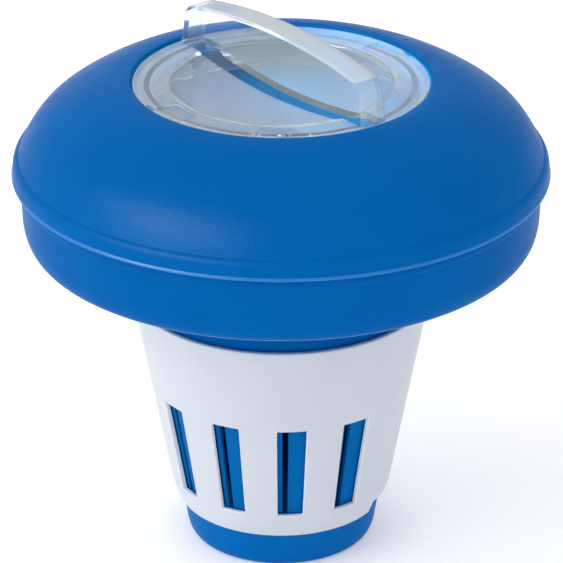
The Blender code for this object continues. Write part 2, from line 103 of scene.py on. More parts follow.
PAN_FLOOR_TOP_Z = TUBE_FOOT_Z - GAP
PAN_FLOOR_Z = PAN_FLOOR_TOP_Z - 1.5 * MM
PAN_SIDE_FOOT_Z = PAN_FLOOR_Z + 7.0 * MM
PAN_FLOOR_RADIUS = 55.3 * MM
NECK_RADIUS = 34.2 * MM
NECK_INNER_RADIUS = 32.6 * MM
TUBE_INNER_RADIUS = TUBE_RADIUS - 1.4 * MM
SOCKET_TOP_Z = 84.0 * MM

# --------------------------------------------------------------------- cap
GRIP_HEIGHT = 13.3 * MM
CAP_TOP_Z = GRIP_TOP_Z - GRIP_HEIGHT
CAP_THICKNESS = 1.2 * MM
FLANGE_BOTTOM_Z = CAP_TOP_Z - CAP_THICKNESS
WELL_RADIUS = 26.3 * MM
WELL_STEP = 0.7 * MM
WELL_DEPTH = 3.0 * MM
SKIRT_RADIUS = 32.0 * MM
SKIRT_WALL = 1.2 * MM
GRIP_AZIMUTH = math.radians(-51.3)
GRIP_WIDTH = 6.8 * MM
GRIP_WALL = 1.0 * MM
GRIP_HALF_LENGTH = 34.4 * MM
GRIP_END_LEAN = 1.4 * MM
GRIP_LEAN_HEIGHT = 6.5 * MM
GRIP_SHOULDER_REACH = 29.5 * MM
GRIP_SHOULDER_HEIGHT = 10.6 * MM
GRIP_OUTER_EDGE = 0.6 * MM
GRIP_INNER_EDGE = 0.35 * MM
GRIP_EDGE_ANGLE = math.radians(60.0)
LUG_HALF_ANGLE = math.radians(9.0)
LUG_RADIUS = 34.4 * MM
LUG_HEIGHT = 1.8 * MM
LEDGE_GAP_HALF_ANGLE = math.radians(11.5)
POCKET_RADII = (28.0 * MM, 33.4 * MM)           # a shallow pocket over each lug
POCKET_HALF_ANGLE = math.radians(8.0)
POCKET_DEPTH = 0.4 * MM
NICK_INNER_RADIUS = 33.9 * MM                   # a nick in the rim beside each pocket
NICK_ANGLES = (math.radians(-12.5), math.radians(-6.5))

# ------------------------------------------------------- sleeve, basket, cup
SLEEVE_WALL = 1.2 * MM
SLEEVE_TAPER = 0.186                            # radius lost for each unit of height
SLEEVE_CHAMFER_Z = 14.4 * MM
SLEEVE_FOOT_CONTROL_RADIUS = 26.2 * MM
SLEEVE_BOTTOM_RADIUS = 24.7 * MM
SLOT_HALF = 6.6
SLOT_PITCH = 30.0
SLOTS_PER_GROUP = 4
FIRST_SLOTS = (-145.2, 34.8)
SLOT_MIDDLES = [first + SLOT_PITCH * k for first in FIRST_SLOTS for k in range(SLOTS_PER_GROUP)]
SLOT_BOTTOM_Z = 16.1 * MM
SLOT_TOP_Z = 40.9 * MM
WINDOW = (-31.0, 10.6)                          # the open notch in the sleeve's foot
WINDOW_TOP_Z = 12.8 * MM
STOP_NOTCH = (81.2, 102.8)
BASKET_WALL = 1.3 * MM
BASKET_SHOULDER_Z = NECK_BOTTOM_Z - GAP
BASKET_FOOT_Z = 14.3 * MM
SLIT_HALF = 1.4
SLIT_OFFSETS = (-2.8, -8.0, -13.2)
SLIT_BOTTOM_Z = 15.9 * MM
SLIT_TOP_Z = 41.3 * MM
CUP_INNER_RADIUS = 21.9 * MM
CUP_SHOULDER_RADIUS = 23.9 * MM
CUP_FLANK = (23.24 * MM, 5.4 * MM)
CUP_CORNER_CONTROL = (22.7 * MM, 0.0)
CUP_FLOOR_RADIUS = 20.6 * MM
CUP_FLOOR_THICKNESS = 1.6 * MM
CUP_GUIDE_RADIUS = 24.15 * MM                   # where the guide inside the sleeve bends
CUP_GUIDE_Z = 12.1 * MM
STOP_LUG = (math.radians(88.0), math.radians(94.0))
STOP_LUG_TOP_Z = 12.2 * MM
STOP_LUG_RADIUS = 25.0 * MM

# ------------------------------------------------------------ stage, camera
SKY_BASE = 0.80
SKY_FIELDS = [              # towards, even out to, faded out at, strength
    ((0.0, 1.0, 0.9), math.radians(12.0), math.radians(34.0), 0.4),
    ((-0.85, -0.30, 0.42), math.radians(10.0), math.radians(40.0), 1.5),
]
SOFTBOX_AT = (-0.67, -0.50, 0.56)           # direction from the object
SOFTBOX_DISTANCE = 1.6
SOFTBOX_SIZE = (1.1, 0.45)
SOFTBOX_POWER = 125.0
SOFTBOX_AIM_Z = 0.1
FLOOR_HALF = 4.0
FLOOR_DROP = 0.05 * MM
FLOOR_GLOW = 0.22
CAMERA_TARGET = (0.1 * MM, 0.0, 65.3 * MM)
CAMERA_DISTANCE = 930.9 * MM
CAMERA_ELEVATION = math.radians(25.151)
CAMERA_LENS = 248.8                         # lens and sensor in millimetres
CAMERA_SENSOR = 36.0


# ================================================================ materials
def new_material(name):
    material = bpy.data.materials.new(name)
    material.use_nodes = True
    tree = material.node_tree
    return material, tree, tree.nodes["Principled BSDF"]


def object_place(tree):
    return tree.nodes.new("ShaderNodeTexCoord").outputs["Object"]


def noise(tree, place, scale, detail, roughness=0.5):
    node = tree.nodes.new("ShaderNodeTexNoise")
    node.inputs["Scale"].default_value = scale
    node.inputs["Detail"].default_value = detail
    node.inputs["Roughness"].default_value = roughness
    tree.links.new(place, node.inputs["Vector"])
    return node.outputs["Fac"]


def ranged(tree, value, low, high):
    """A noise value stretched so that it runs from low to high."""
    node = tree.nodes.new("ShaderNodeMapRange")
    node.inputs["From Min"].default_value = NOISE_SPREAD[0]
    node.inputs["From Max"].default_value = NOISE_SPREAD[1]
    node.inputs["To Min"].default_value = low
    node.inputs["To Max"].default_value = high
    tree.links.new(value, node.inputs["Value"])
    return node.outputs["Result"]


def mixed(tree, factor, first, second):
    """A colour between first and second."""
    node = tree.nodes.new("ShaderNodeMix")
    node.data_type = 'RGBA'
    for socket in node.inputs:
        if socket.type == 'RGBA':
            colour = first if socket.name == "A" else second
            socket.default_value = (*colour, 1.0)
    tree.links.new(factor, node.inputs["Factor"])
    return [socket for socket in node.outputs if socket.type == 'RGBA'][0]


def bumped(tree, shader, height, distance, strength):
    node = tree.nodes.new("ShaderNodeBump")
    node.inputs["Distance"].default_value = distance
    node.inputs["Strength"].default_value = strength
    tree.links.new(height, node.inputs["Height"])
    tree.links.new(node.outputs["Normal"], shader.inputs["Normal"])


def plastic(name, dark, light, roughness, specular, grain):
    """Moulded plastic: fine eroded grain, slight cloudiness in colour and gloss."""
    material, tree, shader = new_material(name)
    place = object_place(tree)
    cloud = noise(tree, place, 55.0, 3.0)
    colour = mixed(tree, ranged(tree, cloud, 0.0, 1.0), dark, light)
    tree.links.new(colour, shader.inputs["Base Color"])
    smear = noise(tree, place, 190.0, 4.0, 0.6)
    gloss = ranged(tree, smear, roughness - 0.04, roughness + 0.05)
    tree.links.new(gloss, shader.inputs["Roughness"])
    fine = noise(tree, place, 2600.0, 2.0, 0.55)
    bumped(tree, shader, fine, grain, 0.5)
    shader.inputs["Specular IOR Level"].default_value = specular
    return material


def clear(name, dark, light, transmission, roughness, wave, ior):
    """Clear or milky moulded plastic with a faint flow waviness."""
    material, tree, shader = new_material(name)
    place = object_place(tree)
    cloud = noise(tree, place, 120.0, 4.0, 0.55)
    colour = mixed(tree, ranged(tree, cloud, 0.0, 1.0), dark, light)
    tree.links.new(colour, shader.inputs["Base Color"])
    smear = noise(tree, place, 400.0, 3.0)
    gloss = ranged(tree, smear, roughness * 0.7, roughness * 1.3)
    tree.links.new(gloss, shader.inputs["Roughness"])
    flow = noise(tree, place, 260.0, 2.0)
    bumped(tree, shader, flow, wave, 0.4)
    shader.inputs["Transmission Weight"].default_value = transmission
    shader.inputs["IOR"].default_value = ior
    return material


def make_materials():
    """Plastics: darkest and lightest colour, roughness, specular level, grain depth.

    Clear ones: both colours, transmission, roughness, wave depth, refractive index.
    """
    return {
        "dome": plastic("dome_blue", (0.0, 0.112, 0.392), (0.0, 0.123, 0.416),
                        0.30, 0.013, 0.00018),
        "pan": plastic("pan_blue", (0.0, 0.105, 0.375), (0.0, 0.116, 0.400),
                       0.33, 0.013, 0.00014),
        # a paler, glossier blue: painted highlight on the lip's bead and on the pan's lower
        # rounding
        "edge": plastic("painted_highlight_blue", (0.025, 0.185, 0.54), (0.035, 0.21, 0.58),
                        0.30, 0.10, 0.00003),
        "inner": plastic("inner_blue", (0.0, 0.118, 0.385), (0.0, 0.132, 0.415),
                         0.42, 0.015, 0.00005),
        # a lighter blue than the dome's: painted light on the tube and on the mouth's inside under
        # the cap
        "tube": plastic("inside_painted_light_blue", (0.0, 0.225, 0.55), (0.0, 0.250, 0.59),
                        0.42, 0.015, 0.00005),
        "cup": plastic("cup_blue", (0.0, 0.122, 0.41), (0.002, 0.133, 0.44),
                       0.36, 0.015, 0.00007),
        "sleeve": plastic("sleeve_white", (0.585, 0.628, 0.685), (0.615, 0.655, 0.708),
                          0.42, 0.2, 0.00006),
        # a whiter colour than the sleeve's: painted light on the slots' side walls
        "cut": plastic("sleeve_cut_painted_light", (0.86, 0.90, 0.95), (0.88, 0.92, 0.96),
                       0.42, 0.2, 0.00003),
        # a darker blue: painted shade inside the basket
        "deep": plastic("basket_painted_shade", (0.0, 0.075, 0.24), (0.0, 0.085, 0.27),
                        0.45, 0.02, 0.00005),
        "milky": clear("cap_milky", (0.86, 0.95, 0.985), (0.93, 0.98, 1.0),
                       0.89, 0.05, 0.00008, 1.22),
        "clear": clear("cap_clear", (0.935, 0.98, 0.982), (0.955, 0.988, 0.99),
                       0.99, 0.02, 0.00003, 1.13),
        # whitish: the grip's frosted crown, and painted highlights on the rim's edge and along the
        # grip's foot inside
        "frost": clear("cap_frost_and_highlight", (0.90, 0.97, 0.99), (0.94, 0.985, 0.995),
                       0.64, 0.08, 0.00004, 1.22),
        "ends": clear("cap_ends", (0.88, 0.95, 0.97), (0.92, 0.97, 0.98),
                      0.90, 0.05, 0.00004, 1.10),
        "seal": clear("seal_clear", (0.90, 0.95, 0.98), (0.93, 0.97, 0.99),
                      0.95, 0.10, 0.00003, 1.15),
    }


# ================================================================== helpers
def add_object(name, data):
    item = bpy.data.objects.new(name, data)
    bpy.context.scene.collection.objects.link(item)
    return item


def add_mesh(name, bm):
    """Turns the bmesh into an object and frees it."""
    mesh = bpy.data.meshes.new(name)
    bm.to_mesh(mesh)
    bm.free()
    return add_object(name, mesh)


def curve(start, control, end, count):
    """Points along a quadratic curve, the start and the end included."""
    points = []
    for index in range(count + 1):
        t = index / count
        points.append(tuple((1 - t) ** 2 * a + 2 * t * (1 - t) * b + t ** 2 * c
                            for a, b, c in zip(start, control, end)))
    return points


def smoothed(points, rounds):
    """The same line with its kinks eased; the two ends stay."""
    line = [Vector(p) for p in points]
    for _ in range(rounds):
        eased = [(line[i - 1] + 2 * line[i] + line[i + 1]) / 4 for i in range(1, len(line) - 1)]
        line = [line[0]] + eased + [line[-1]]
    return [tuple(p) for p in line]


def inset(points, distance):
    """The line moved to its right-hand side, which is a moulding's inside."""
    moved = []
    for index, (radius, height) in enumerate(points):
        before = points[max(index - 1, 0)]
        after = points[min(index + 1, len(points) - 1)]
        along = Vector((after[0] - before[0], after[1] - before[1])).normalized()
        moved.append((radius + along.y * distance, height - along.x * distance))
    return moved


def rounded(corners, closed=True, steps=4):
    """Corners (radius, height[, rounding]) as profile points, with soft corners."""
    most = 0.48                 # of a side, so that the roundings at its ends don't meet
    points = []
    last = len(corners) - 1
    for index, corner in enumerate(corners):
        here = Vector(corner[:2])
        size = corner[2] if len(corner) > 2 else 0.0
        if size == 0.0 or (not closed and index in (0, last)):
            points.append(tuple(here))
            continue
        back = Vector(corners[index - 1][:2]) - here
        ahead = Vector(corners[(index + 1) % len(corners)][:2]) - here
        cut = min(size, most * back.length, most * ahead.length)
        start = here + back.normalized() * cut
        end = here + ahead.normalized() * cut
        points += curve(start, here, end, steps)
    return points


def lathe(name, profile, closed=True):
    """A body of revolution: the profile runs down its outer side."""
    bm = bmesh.new()
    rings = []
    for radius, height in profile:
        if radius == 0.0:       # a single point on the axis
            rings.append([bm.verts.new((0.0, 0.0, height))])
            continue
        rings.append([bm.verts.new((radius * math.cos(math.tau * k / SEGMENTS),
                                    radius * math.sin(math.tau * k / SEGMENTS), height))
                      for k in range(SEGMENTS)])
    pairs = list(zip(rings, rings[1:]))
    if closed:
        pairs.append((rings[-1], rings[0]))
    for upper, lower in pairs:
        for k in range(SEGMENTS):
            n = (k + 1) % SEGMENTS
            quad = [upper[k % len(upper)], lower[k % len(lower)],
                    lower[n % len(lower)], upper[n % len(upper)]]
            bm.faces.new(list(dict.fromkeys(quad)))
    return add_mesh(name, bm)


def fill_columns(keys, step):
    """Azimuths round the whole circle, through every key, no wider apart than step."""
    keys = sorted(set(round(key % 360.0, 6) for key in keys))
    columns = []
    for index, key in enumerate(keys):
        following = keys[index + 1] if index + 1 < len(keys) else keys[0] + 360.0
        count = max(1, math.ceil((following - key) / step))
        columns += [key + (following - key) * k / count for k in range(count)]
    return columns


def pierced(name, outer, inner, holes, step):
    """A turned wall with windows: matching outer and inner points, top to bottom.

    holes are (first azimuth, last azimuth, lower height, upper height).
    """
    columns = fill_columns([edge for hole in holes for edge in hole[:2]], step)
    bm = bmesh.new()

    def ring(point):
        return [bm.verts.new((point[0] * math.cos(math.radians(a)),
                              point[0] * math.sin(math.radians(a)), point[1]))
                for a in columns]

    out = [ring(p) for p in outer]
    back = [ring(p) for p in inner]
    rows, count = len(outer) - 1, len(columns)

    def solid(row, column):
        if row < 0 or row >= rows:
            return False
        column %= count
        end = columns[(column + 1) % count] + (360.0 if column + 1 == count else 0.0)
        middle = (columns[column] + end) / 2
        height = (outer[row][1] + outer[row + 1][1]) / 2
        for first, last, low, high in holes:
            if (middle - first) % 360.0 < last - first and low < height < high:
                return False
        return True

    for row in range(rows):
        for column in range(count):
            if not solid(row, column):
                continue
            n = (column + 1) % count
            a, b, c, d = out[row][column], out[row + 1][column], out[row + 1][n], out[row][n]
            e, f, g, h = back[row][column], back[row + 1][column], back[row + 1][n], back[row][n]
            bm.faces.new((a, b, c, d))
            bm.faces.new((h, g, f, e))
            if not solid(row - 1, column):
                bm.faces.new((a, d, h, e))
            if not solid(row + 1, column):
                bm.faces.new((b, f, g, c))
            if not solid(row, column - 1):
                bm.faces.new((a, e, f, b))
            if not solid(row, column + 1):
                bm.faces.new((d, c, g, h))
    loose = [v for v in bm.verts if not v.link_faces]
    bmesh.ops.delete(bm, geom=loose, context='VERTS')
    return add_mesh(name, bm)


def arc_block(radii, azimuths, heights, cuts):
    """The mesh of a closed block bent round the Z axis, azimuths in radians."""
    bm = bmesh.new()
    bmesh.ops.create_cube(bm, size=1.0)
    across = [e for e in bm.edges if abs(e.verts[0].co.y - e.verts[1].co.y) > 0.5]
    bmesh.ops.subdivide_edges(bm, edges=across, cuts=cuts, use_grid_fill=True)
    for vert in bm.verts:
        x, y, z = (value + 0.5 for value in vert.co)
        radius = radii[0] + x * (radii[1] - radii[0])
        azimuth = azimuths[0] + y * (azimuths[1] - azimuths[0])
        vert.co = (radius * math.cos(azimuth), radius * math.sin(azimuth),
                   heights[0] + z * (heights[1] - heights[0]))
    mesh = bpy.data.meshes.new("arc_block")
    bm.to_mesh(mesh)
    bm.free()
    return mesh


def blocks_object(name, blocks, cuts=8, edge=0.0):
    """Several arc blocks as one helper object, with rounded edges if edge is given."""
    bm = bmesh.new()
    for radii, azimuths, heights in blocks:
        piece = arc_block(radii, azimuths, heights, cuts)
        bm.from_mesh(piece)
        bpy.data.meshes.remove(piece)
    item = add_mesh(name, bm)
    if edge:
        bevel(item, edge, 2)
    return item


def bevel(item, width, segments, angle=math.radians(40.0)):
    """Rounds the edges that bend more than the angle, at once."""
    change = item.modifiers.new("edges", 'BEVEL')
    change.width = width
    change.segments = segments
    change.limit_method = 'ANGLE'
    change.angle_limit = angle
    change.miter_outer = 'MITER_ARC'
    settle(item)


def boolean(item, other, operation):
    """Joins or cuts at once and removes the other object."""
    change = item.modifiers.new("boolean", 'BOOLEAN')
    change.operation = operation
    change.solver = 'EXACT'
    change.object = other
    settle(item)
    bpy.data.objects.remove(other, do_unlink=True)


def settle(item):
    """Applies the modifiers."""
    graph = bpy.context.evaluated_depsgraph_get()
    graph.update()
    mesh = bpy.data.meshes.new_from_object(item.evaluated_get(graph))
    item.modifiers.clear()
    item.data = mesh


def paint(item, material, inside):
    """Gives another material to the faces that pass the test of radius, height and face."""
    slots = item.data.materials
    if material.name not in slots:
        slots.append(material)
    index = slots.find(material.name)
    for face in item.data.polygons:
        x, y, z = face.center
        if inside(math.hypot(x, y), z, face):
            face.material_index = index


def finish_piece(item, body, node):
    """Shades the piece, says where it rides, and hides the CAD node that it stands in for."""
    item.data.shade_smooth()
    item.data.set_sharp_from_angle(angle=SHARP_ANGLE)
    weighted = item.modifiers.new("normals", 'WEIGHTED_NORMAL')
    weighted.keep_sharp = True
    settle(item)
    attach(item, body)
    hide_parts(node)


def sleeve_radius(height):
    """Outer radius of the sleeve's cone."""
    return SLEEVE_TOP_RADIUS - SLEEVE_TAPER * (SLEEVE_TOP_Z - height)


def basket_radius(height):
    """Outer radius of the basket, just clear of the sleeve's inner face."""
    return sleeve_radius(height) - SLEEVE_WALL - GAP


def well_height(radius):
    """Top face of the cap's dish."""
    bowl = (WELL_DEPTH - WELL_STEP) * (1 - (min(radius, WELL_RADIUS) / WELL_RADIUS) ** 2)
    return CAP_TOP_Z - WELL_STEP - bowl


def lug_azimuths():
    return [GRIP_AZIMUTH + math.pi / 2, GRIP_AZIMUTH - math.pi / 2]


# ============================================================ float, sleeve
def build_dome(looks):
    dome = smoothed(curve(DOME_TOP, DOME_CONTROL, DOME_FLANK, 26)
                    + curve(DOME_FLANK, FLANK_CONTROL, LIP_TOP, 12)[1:], 14)
    lip = curve(LIP_TOP, LIP_CONTROL, LIP_END, 10)
    mouth = rounded([(OPENING_RADIUS, LEDGE_TOP_Z),
                     (OPENING_RADIUS, DOME_TOP_Z, MOUTH_ROUNDING),
                     dome[1]], closed=False, steps=6)
    outside = mouth[1:-1] + dome[1:] + lip[1:] + LIP_BEAD
    inside = inset(dome, FLOAT_WALL)
    inside.reverse()
    soft = 0.3 * MM
    under = rounded([
        (LIP_INNER_RADIUS, RIM_Z, 0.2 * MM),
        (LIP_INNER_RADIUS, RIM_Z + LIP_INNER_HEIGHT, soft),
    ] + inside[:-3] + [
        (COLLAR_RADIUS, DOME_TOP_Z - FLOAT_WALL, 0.9 * MM),
        (COLLAR_RADIUS, COLLAR_BOTTOM_Z, soft),
        (OPENING_RADIUS, COLLAR_BOTTOM_Z, soft),
        (OPENING_RADIUS, LEDGE_BOTTOM_Z),
        (LEDGE_INNER_RADIUS, LEDGE_BOTTOM_Z, soft),
        (LEDGE_INNER_RADIUS, LEDGE_TOP_Z, soft),
        (OPENING_RADIUS, LEDGE_TOP_Z),
    ])
    shell = lathe("dome_shell", outside + under)
    gaps = [((LEDGE_INNER_RADIUS - 5 * MM, OPENING_RADIUS - 0.02 * MM),
             (a - LEDGE_GAP_HALF_ANGLE, a + LEDGE_GAP_HALF_ANGLE),
             (LEDGE_BOTTOM_Z - MM, LEDGE_TOP_Z + MM)) for a in lug_azimuths()]
    boolean(shell, blocks_object("ledge_gaps", gaps), 'DIFFERENCE')
    shell.data.materials.clear()
    shell.data.materials.append(looks["dome"])
    # painted highlight: the faces of the lip's bead get the paler blue
    paint(shell, looks["edge"], lambda radius, z, face:
          radius > RIM_RADIUS - 0.45 * MM and RIM_Z + 0.2 * MM < z < RIM_Z + 0.9 * MM)
    # painted light: the mouth's inner faces under the cap get the lighter tube blue
    paint(shell, looks["tube"], lambda radius, z, face:
          radius < OPENING_RADIUS + 0.1 * MM and z < DOME_TOP_Z - 1.5 * MM)
    finish_piece(shell, "float", "float_upper_shell")


def build_pan(looks):
    corner = curve((PAN_SIDE_RADIUS, PAN_SIDE_FOOT_Z),
                   (PAN_SIDE_RADIUS - PAN_SIDE_LEAN, PAN_FLOOR_Z),
                   (PAN_FLOOR_RADIUS, PAN_FLOOR_Z), 18)
    inner_corner = inset(corner, FLOAT_WALL)
    inner_corner.reverse()
    top = RIM_Z - GAP
    soft = 0.3 * MM
    fine = 0.2 * MM
    shell = lathe("pan_shell", rounded([
        (PAN_SIDE_RADIUS, PAN_TOP_Z, soft),
        (PAN_RADIUS, top),
        (PAN_RADIUS + BEAD_PROUD, top, 0.15 * MM),
        (PAN_RADIUS + BEAD_PROUD, top - BEAD_HEIGHT, 0.35 * MM),
        (PAN_RADIUS, top - BEAD_HEIGHT - BEAD_PROUD, soft),
    ] + corner + [
        (NECK_RADIUS, PAN_FLOOR_Z, 1.2 * MM),
        (NECK_RADIUS, SLEEVE_TOP_Z, fine),
        (basket_radius(NECK_BOTTOM_Z), NECK_BOTTOM_Z, 0.1 * MM),
        (NECK_INNER_RADIUS, NECK_BOTTOM_Z, fine),
        (NECK_INNER_RADIUS, PAN_FLOOR_TOP_Z, fine),
        (OPENING_RADIUS, PAN_FLOOR_TOP_Z, fine),
        (OPENING_RADIUS, SOCKET_TOP_Z, soft),
        (COLLAR_RADIUS, SOCKET_TOP_Z, soft),
        (COLLAR_RADIUS, PAN_FLOOR_TOP_Z, 0.8 * MM),
    ] + inner_corner + [
        (PAN_SIDE_RADIUS - FLOAT_WALL, PAN_TOP_Z, soft),
    ]))
    shell.data.materials.append(looks["pan"])
    # painted highlight: a band of the paler blue along the pan's lower rounding
    paint(shell, looks["edge"], lambda radius, z, face:
          radius > PAN_SIDE_RADIUS - 5.5 * MM
          and PAN_FLOOR_Z + 0.2 * MM < z < PAN_FLOOR_Z + 1.2 * MM)
    finish_piece(shell, "float", "float_lower_shell")


def build_tube(looks):
    soft = 0.4 * MM
    tube = lathe("inner_tube", rounded([
        (TUBE_RADIUS, TUBE_TOP_Z, soft), (TUBE_RADIUS, TUBE_FOOT_Z, soft),
        (TUBE_INNER_RADIUS, TUBE_FOOT_Z, soft), (TUBE_INNER_RADIUS, TUBE_TOP_Z, soft)]))
    # painted light: the tube gets the lighter blue, standing in for light through the cap
    tube.data.materials.append(looks["tube"])
    finish_piece(tube, "float", "chamber_tube")


def build_basket(looks):
    plug = NECK_INNER_RADIUS - GAP
    plug_inner = plug - BASKET_WALL
    tail = CUP_INNER_RADIUS - GAP
    rows = [55.0 * MM, SLIT_TOP_Z, 32.0 * MM, 24.0 * MM, SLIT_BOTTOM_Z]
    outer = [(plug, BASKET_TOP_Z), (plug, BASKET_SHOULDER_Z)]
    outer += [(basket_radius(z), z) for z in (BASKET_SHOULDER_Z, *rows, BASKET_FOOT_Z)]
    outer += [(tail, BASKET_FOOT_Z), (tail, BASKET_END_Z)]
    inner = [(plug_inner, z) for z in (BASKET_TOP_Z, 62.0 * MM, BASKET_SHOULDER_Z - MM,
                                       BASKET_SHOULDER_Z - 5.5 * MM)]
    inner += [(basket_radius(z) - BASKET_WALL, z) for z in rows[1:]]
    inner += [(tail - BASKET_WALL + 0.5 * MM, BASKET_FOOT_Z + 1.1 * MM),
              (tail - BASKET_WALL, BASKET_FOOT_Z + 0.3 * MM),
              (tail - BASKET_WALL, BASKET_END_Z)]
    holes = []
    for slot in SLOT_MIDDLES:
        for offset in SLIT_OFFSETS:
            holes.append((slot + offset - SLIT_HALF, slot + offset + SLIT_HALF,
                          SLIT_BOTTOM_Z, SLIT_TOP_Z))
    basket = pierced("basket_wall", outer, inner, holes, 2.5)
    bevel(basket, 0.12 * MM, 1)
    basket.data.materials.append(looks["inner"])
    # painted shade: the basket's inner faces below the shoulder get the darker blue
    paint(basket, looks["deep"], lambda radius, z, face:
          z < BASKET_SHOULDER_Z and radius < basket_radius(z) - BASKET_WALL + 0.15 * MM)
    finish_piece(basket, "float", "tablet_basket")


def sleeve_foot():
    """The sleeve's lower curve, with a point exactly at the top of the foot's notches."""
    foot = curve((sleeve_radius(SLEEVE_CHAMFER_Z), SLEEVE_CHAMFER_Z),
                 (SLEEVE_FOOT_CONTROL_RADIUS, WINDOW_TOP_Z),
                 (SLEEVE_BOTTOM_RADIUS, SLEEVE_BOTTOM_Z), 12)
    above = [p for p in foot if p[1] > WINDOW_TOP_Z + 0.05 * MM]
    below = [p for p in foot if p[1] < WINDOW_TOP_Z - 0.05 * MM]
    share = (above[-1][1] - WINDOW_TOP_Z) / (above[-1][1] - below[0][1])
    cut = (above[-1][0] + (below[0][0] - above[-1][0]) * share, WINDOW_TOP_Z)
    return above + [cut] + below


def build_sleeve(looks):
    rows = (56.0 * MM, 48.0 * MM, SLOT_TOP_Z, 32.0 * MM, 24.0 * MM, SLOT_BOTTOM_Z)
    outer = [(SLEEVE_TOP_RADIUS - 0.25 * MM, SLEEVE_TOP_Z),
             (SLEEVE_TOP_RADIUS, SLEEVE_TOP_Z - 0.3 * MM)]
    outer += [(sleeve_radius(z), z) for z in rows] + sleeve_foot()
    inner = [(radius - SLEEVE_WALL, height) for radius, height in outer]
    inner[0] = (SLEEVE_TOP_RADIUS - SLEEVE_WALL, SLEEVE_TOP_Z)
    holes = [(middle - SLOT_HALF, middle + SLOT_HALF, SLOT_BOTTOM_Z, SLOT_TOP_Z)
             for middle in SLOT_MIDDLES]
    holes += [(*WINDOW, 0.0, WINDOW_TOP_Z), (*STOP_NOTCH, 0.0, WINDOW_TOP_Z)]
    sleeve = pierced("sleeve_wall", outer, inner, holes, 2.0)
    bevel(sleeve, 0.2 * MM, 3)
    sleeve.data.materials.append(looks["sleeve"])
    # painted light: the slots' side walls get the whiter colour
    paint(sleeve, looks["cut"], lambda radius, z, face:
          SLOT_BOTTOM_Z - 0.3 * MM < z < SLOT_TOP_Z + 0.3 * MM
          and 0.03 * MM < sleeve_radius(z) - radius < SLEEVE_WALL - 0.05 * MM)
    finish_piece(sleeve, "sleeve", "dosing_sleeve")


def build_cup(looks):
    corner = curve(CUP_FLANK, CUP_CORNER_CONTROL, (CUP_FLOOR_RADIUS, 0.0), 14)
    guide = SLEEVE_WALL + GAP
    profile = rounded([
        (0.0, CUP_FLOOR_THICKNESS),
        (CUP_FLOOR_RADIUS - 1.2 * MM, CUP_FLOOR_THICKNESS, 1.2 * MM),
        (CUP_INNER_RADIUS, 4.6 * MM, 1.2 * MM),
        (CUP_INNER_RADIUS, CUP_TOP_Z, 0.15 * MM),
        (sleeve_radius(CUP_TOP_Z) - guide - 0.1 * MM, CUP_TOP_Z, 0.2 * MM),
        (CUP_GUIDE_RADIUS, CUP_GUIDE_Z, 0.5 * MM),
        (SLEEVE_BOTTOM_RADIUS - guide, SLEEVE_BOTTOM_Z),
        (SLEEVE_BOTTOM_RADIUS - guide, SLEEVE_BOTTOM_Z - GAP),
        (CUP_SHOULDER_RADIUS, SLEEVE_BOTTOM_Z - GAP, 0.25 * MM),
    ] + corner + [(0.0, 0.0)], closed=False)
    cup = lathe("foot_cup", profile, closed=False)
    stop = blocks_object("stop_lug", [
        ((CUP_INNER_RADIUS + 0.5 * MM, STOP_LUG_RADIUS), STOP_LUG,
         (SLEEVE_BOTTOM_Z - MM, STOP_LUG_TOP_Z))], cuts=3, edge=0.2 * MM)
    boolean(cup, stop, 'UNION')
    cup.data.materials.append(looks["cup"])
    finish_piece(cup, "float", "bottom_cup")


# ====================================================================== cap
def grip_axes():
    """Unit vectors along the grip and across it."""
    along = Vector((math.cos(GRIP_AZIMUTH), math.sin(GRIP_AZIMUTH), 0.0))
    return along, Vector((-along.y, along.x, 0.0))


def grip_outline(shrink, floor):
    """Side view of the grip as (along, height) points; shrink is the wall left off."""
    end = GRIP_HALF_LENGTH - shrink
    shoulder = (GRIP_SHOULDER_REACH - 0.6 * shrink, CAP_TOP_Z + GRIP_SHOULDER_HEIGHT - shrink)
    corner = (end - GRIP_END_LEAN - 0.3 * MM,
              CAP_TOP_Z + GRIP_SHOULDER_HEIGHT - 0.6 * MM - shrink)
    crown = GRIP_TOP_Z - shrink
    side = curve((end - GRIP_END_LEAN, CAP_TOP_Z + GRIP_LEAN_HEIGHT - shrink),
                 corner, shoulder, 10)
    top = []
    steps = 16
    for index in range(1, steps):
        along = shoulder[0] * (1 - index / steps)
        rise = (crown - shoulder[1]) * (1 - (along / shoulder[0]) ** 2)
        top.append((along, shoulder[1] + rise))
    half = [(end, floor[0][1])] + smoothed(side + top, 2)
    mirrored = [(-along, height) for along, height in reversed(half)]
    return half + [(0.0, crown)] + mirrored + floor[1:-1]


def cap_looks(item, looks):
    """The dish's milky look in slot 0 and the grip's clear one in slot 1."""
    item.data.materials.append(looks["milky"])
    item.data.materials.append(looks["clear"])


def grip_block(name, outline, width, edge, segments, looks):
    """The outline stood upright along the grip and given a width, with rounded edges."""
    along, across = grip_axes()
    bm = bmesh.new()
    base = [bm.verts.new(along * distance - across * width / 2 + Vector((0, 0, height)))
            for distance, height in outline]
    face = bm.faces.new(base)
    swept = bmesh.ops.extrude_face_region(bm, geom=[face])["geom"]
    moved = [part for part in swept if isinstance(part, bmesh.types.BMVert)]
    bmesh.ops.translate(bm, verts=moved, vec=across * width)
    bmesh.ops.recalc_face_normals(bm, faces=bm.faces)
    item = add_mesh(name, bm)
    bevel(item, edge, segments, GRIP_EDGE_ANGLE)
    cap_looks(item, looks)
    item.data.polygons.foreach_set("material_index", [1] * len(item.data.polygons))
    return item


